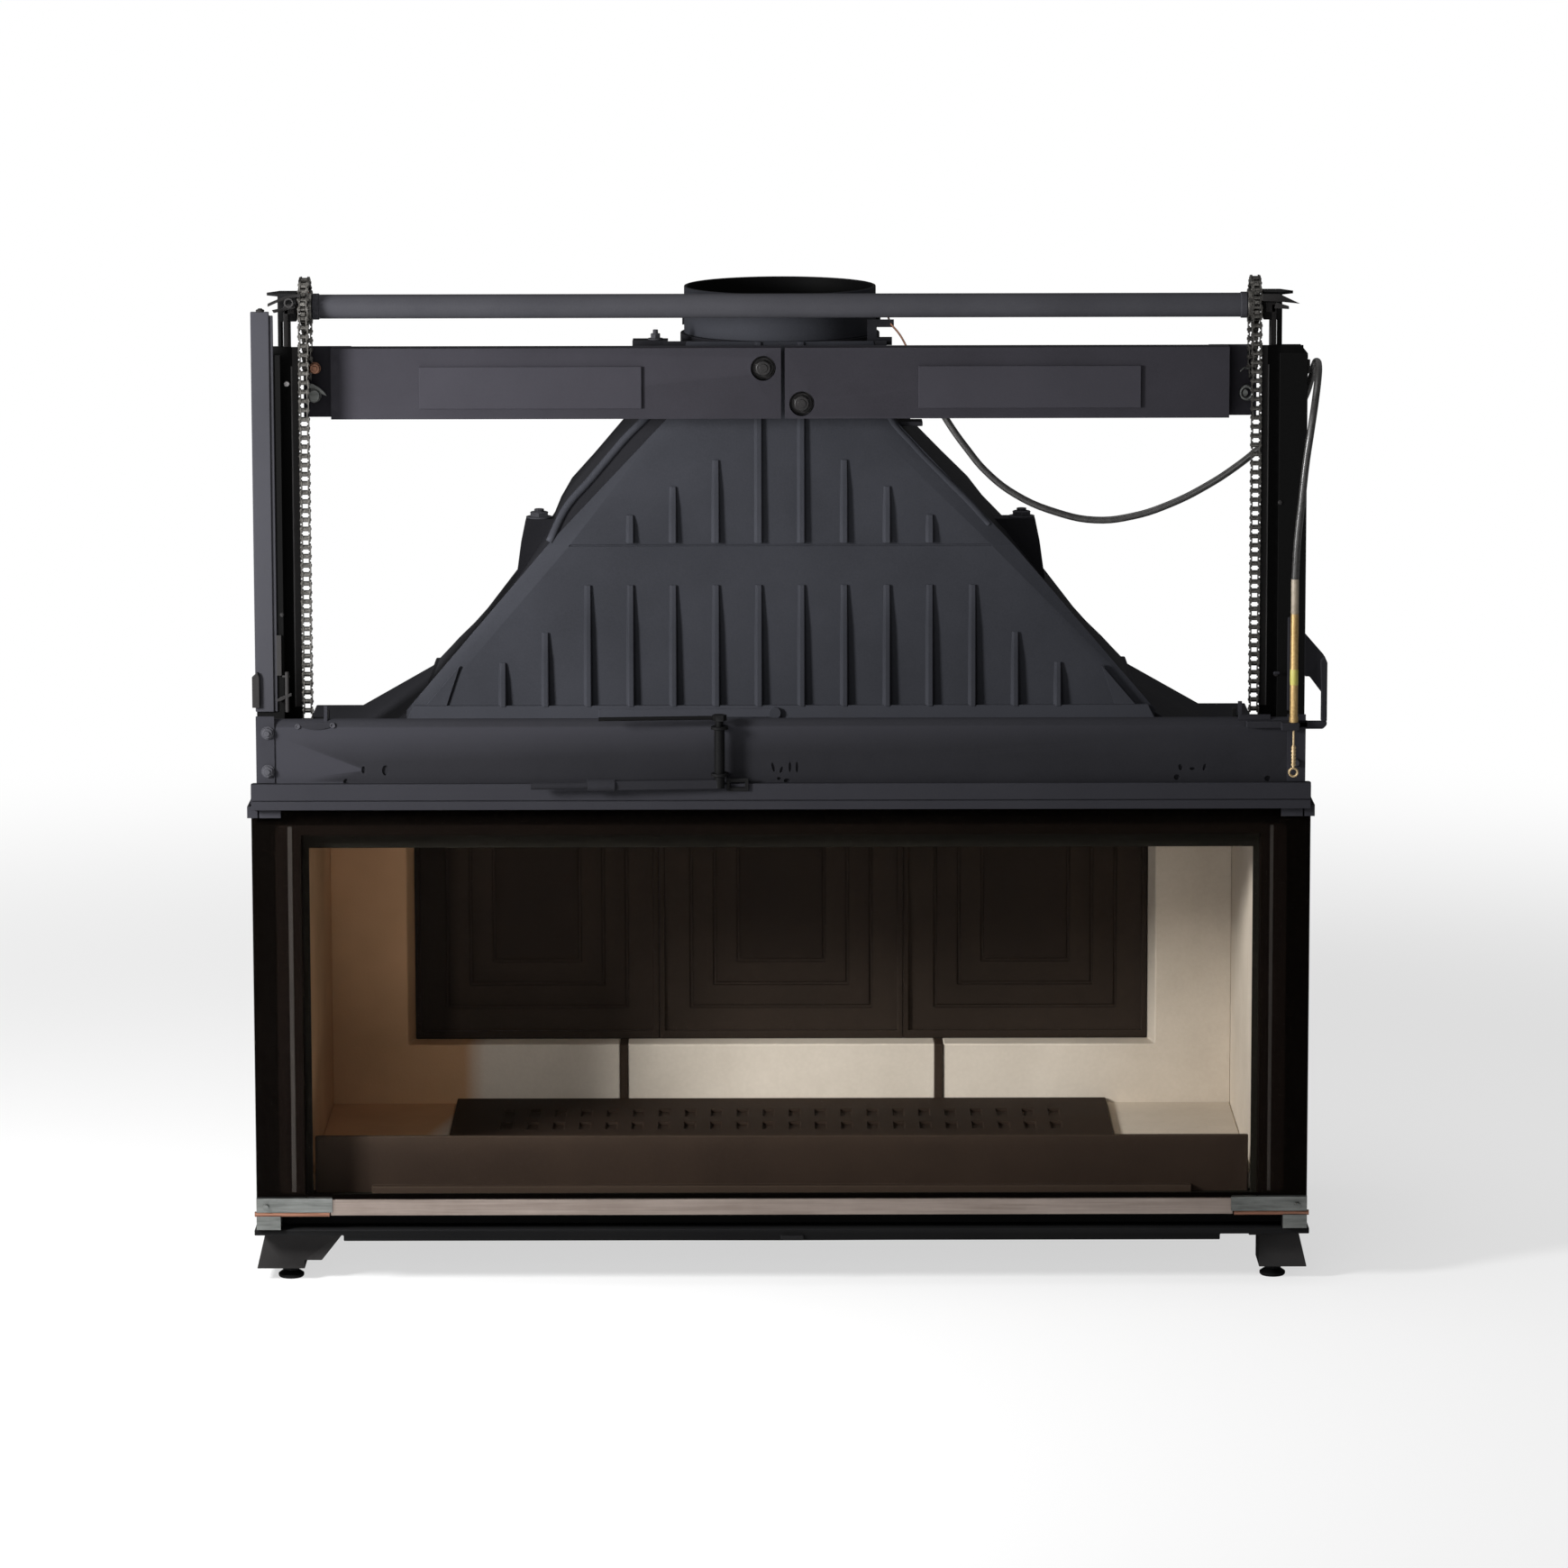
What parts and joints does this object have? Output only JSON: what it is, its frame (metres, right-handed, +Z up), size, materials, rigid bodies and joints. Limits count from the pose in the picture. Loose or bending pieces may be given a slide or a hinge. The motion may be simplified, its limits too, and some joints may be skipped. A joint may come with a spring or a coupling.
{
  "type": "wood fireplace insert",
  "caption": "Wide wood fireplace insert: a glass door that lifts on chains with a counterweight, lined firebox, ribbed smoke dome, flue collar with damper, levelling feet.",
  "frame": {"origin": "floor level under the middle of the insert's box, on its left-right centre line", "axes": "+Z up, +X to the viewer's right when facing the glass, -Y out of the front of the glass"},
  "size_m": [1.1116, 0.501, 1.0514],
  "materials": {
    "painted_charcoal": "satin high-temperature paint, fine texture",
    "painted_black": "matt high-temperature paint",
    "cast_iron_grey": "painted casting, fine grain",
    "fire_iron": "bare fired casting, brown black",
    "vermiculite": "pressed vermiculite board, faint grain",
    "stainless": "fine brushed steel",
    "zinc_plate": "plain plated steel",
    "chain_steel": "oiled chain steel",
    "clear_glass": "ceramic glass, faint brown tint",
    "rope_seal": "knitted glass rope",
    "cable_cover": "semi-matt black sheath",
    "brass_fittings": "dull yellow plated steel and brass"
  },
  "bodies": {
    "frame": {"base_frame": "painted_black", "foot_brackets": "painted_black", "firebox_floor": "cast_iron_grey", "firebox_left_wall": "cast_iron_grey", "firebox_right_wall": "cast_iron_grey", "firebox_back": "cast_iron_grey", "seal_frame": "painted_black", "lintel_shelf": "cast_iron_grey", "lining_left": "vermiculite", "lining_right": "vermiculite", "lining_floor": "vermiculite", "lining_rear": "vermiculite", "divider_bars": "fire_iron", "fireback_left": "fire_iron", "fireback_centre": "fire_iron", "fireback_right": "fire_iron", "hearth_plate": "fire_iron", "log_retainer": "fire_iron", "smoke_baffle": "vermiculite", "dome_skirt": "cast_iron_grey", "dome_shell": "cast_iron_grey", "dome_front": "cast_iron_grey", "flue_collar": "cast_iron_grey", "lintel_plate": "painted_charcoal", "lintel_ledge": "painted_charcoal", "column_left": "painted_black", "column_right": "painted_black", "guide_rails": "painted_black", "outer_strip": "painted_charcoal", "top_bracket_left": "painted_black", "top_bracket_right": "painted_black", "shaft_bushes": "brass_fittings", "cable_bracket": "painted_black", "cable_sheath": "cable_cover", "cable_sleeve": "brass_fittings", "lever_bracket": "painted_black", "frame_bolts": "zinc_plate", "chain_wraps": "chain_steel"},
    "door": {"door_frame": "painted_black", "door_glass": "clear_glass", "door_seal": "rope_seal", "bottom_strip": "stainless", "glass_clamps": "zinc_plate", "lift_arms": "painted_black", "chain_fronts": "chain_steel"},
    "upper_rollers": {"roller_upper": "zinc_plate"},
    "lower_rollers": {"roller_lower": "zinc_plate"},
    "counterweight": {"counterweight_halves": "painted_charcoal", "weight_face_plates": "painted_charcoal", "weight_hardware": "zinc_plate", "chain_rears": "chain_steel"},
    "chain_shaft": {"shaft_tube": "painted_charcoal", "sprockets": "chain_steel"},
    "damper": {"damper_flap": "cast_iron_grey"},
    "pull": {"pull_wire": "brass_fittings"},
    "lever": {"air_lever": "painted_charcoal"},
    "screw_front_left": {"foot_front_left": "painted_black"},
    "screw_front_right": {"foot_front_right": "painted_black"},
    "screw_rear_left": {"foot_rear_left": "painted_black"},
    "screw_rear_right": {"foot_rear_right": "painted_black"}
  },
  "joints": [
    {"name": "door_lift", "type": "slide", "parent": "frame", "child": "door", "axis": [0, 0, 1], "range_m": [0, 0.4], "deforming": ["chain_fronts"]},
    {"name": "counterweight_fall", "type": "slide", "parent": "frame", "child": "counterweight", "axis": [0, 0, -1], "range_m": [0, 0.4], "deforming": ["chain_rears"]},
    {"name": "shaft_turn", "type": "hinge", "parent": "frame", "child": "chain_shaft", "pos_m": [0, -0.123, 1.02], "axis": [1, 0, 0], "range_deg": [-840.9, 0]},
    {"name": "upper_roller_turn", "type": "hinge", "parent": "door", "child": "upper_rollers", "pos_m": [0, -0.158, 0.49], "axis": [1, 0, 0], "range_deg": [0, 1581.6]},
    {"name": "lower_roller_turn", "type": "hinge", "parent": "door", "child": "lower_rollers", "pos_m": [0, -0.158, 0.15], "axis": [1, 0, 0], "range_deg": [0, 1581.6]},
    {"name": "damper_turn", "type": "hinge", "parent": "frame", "child": "damper", "pos_m": [0, 0.05, 0.987], "axis": [1, 0, 0], "range_deg": [0, 80]},
    {"name": "pull_ring", "type": "slide", "parent": "frame", "child": "pull", "axis": [0, 0, -1], "range_m": [0, 0.035]},
    {"name": "air_lever_swing", "type": "hinge", "parent": "frame", "child": "lever", "pos_m": [-0.063, -0.239, 0.54], "axis": [0, 0, 1], "range_deg": [0, 75]},
    {"name": "level_front_left", "type": "slide", "parent": "frame", "child": "screw_front_left", "axis": [0, 0, -1], "range_m": [0, 0.02]},
    {"name": "level_front_right", "type": "slide", "parent": "frame", "child": "screw_front_right", "axis": [0, 0, -1], "range_m": [0, 0.02]},
    {"name": "level_rear_left", "type": "slide", "parent": "frame", "child": "screw_rear_left", "axis": [0, 0, -1], "range_m": [0, 0.02]},
    {"name": "level_rear_right", "type": "slide", "parent": "frame", "child": "screw_rear_right", "axis": [0, 0, -1], "range_m": [0, 0.02]}
  ],
  "couplings": [
    {"joint": "counterweight_fall", "follows": "door_lift", "ratio": 1},
    {"joint": "shaft_turn", "follows": "door_lift", "rad_per_m": -36.647},
    {"joint": "upper_roller_turn", "follows": "door_lift", "rad_per_m": 68.966},
    {"joint": "lower_roller_turn", "follows": "door_lift", "rad_per_m": 68.966},
    {"joint": "pull_ring", "follows": "damper_turn", "m_per_rad": 0.025}
  ]
}
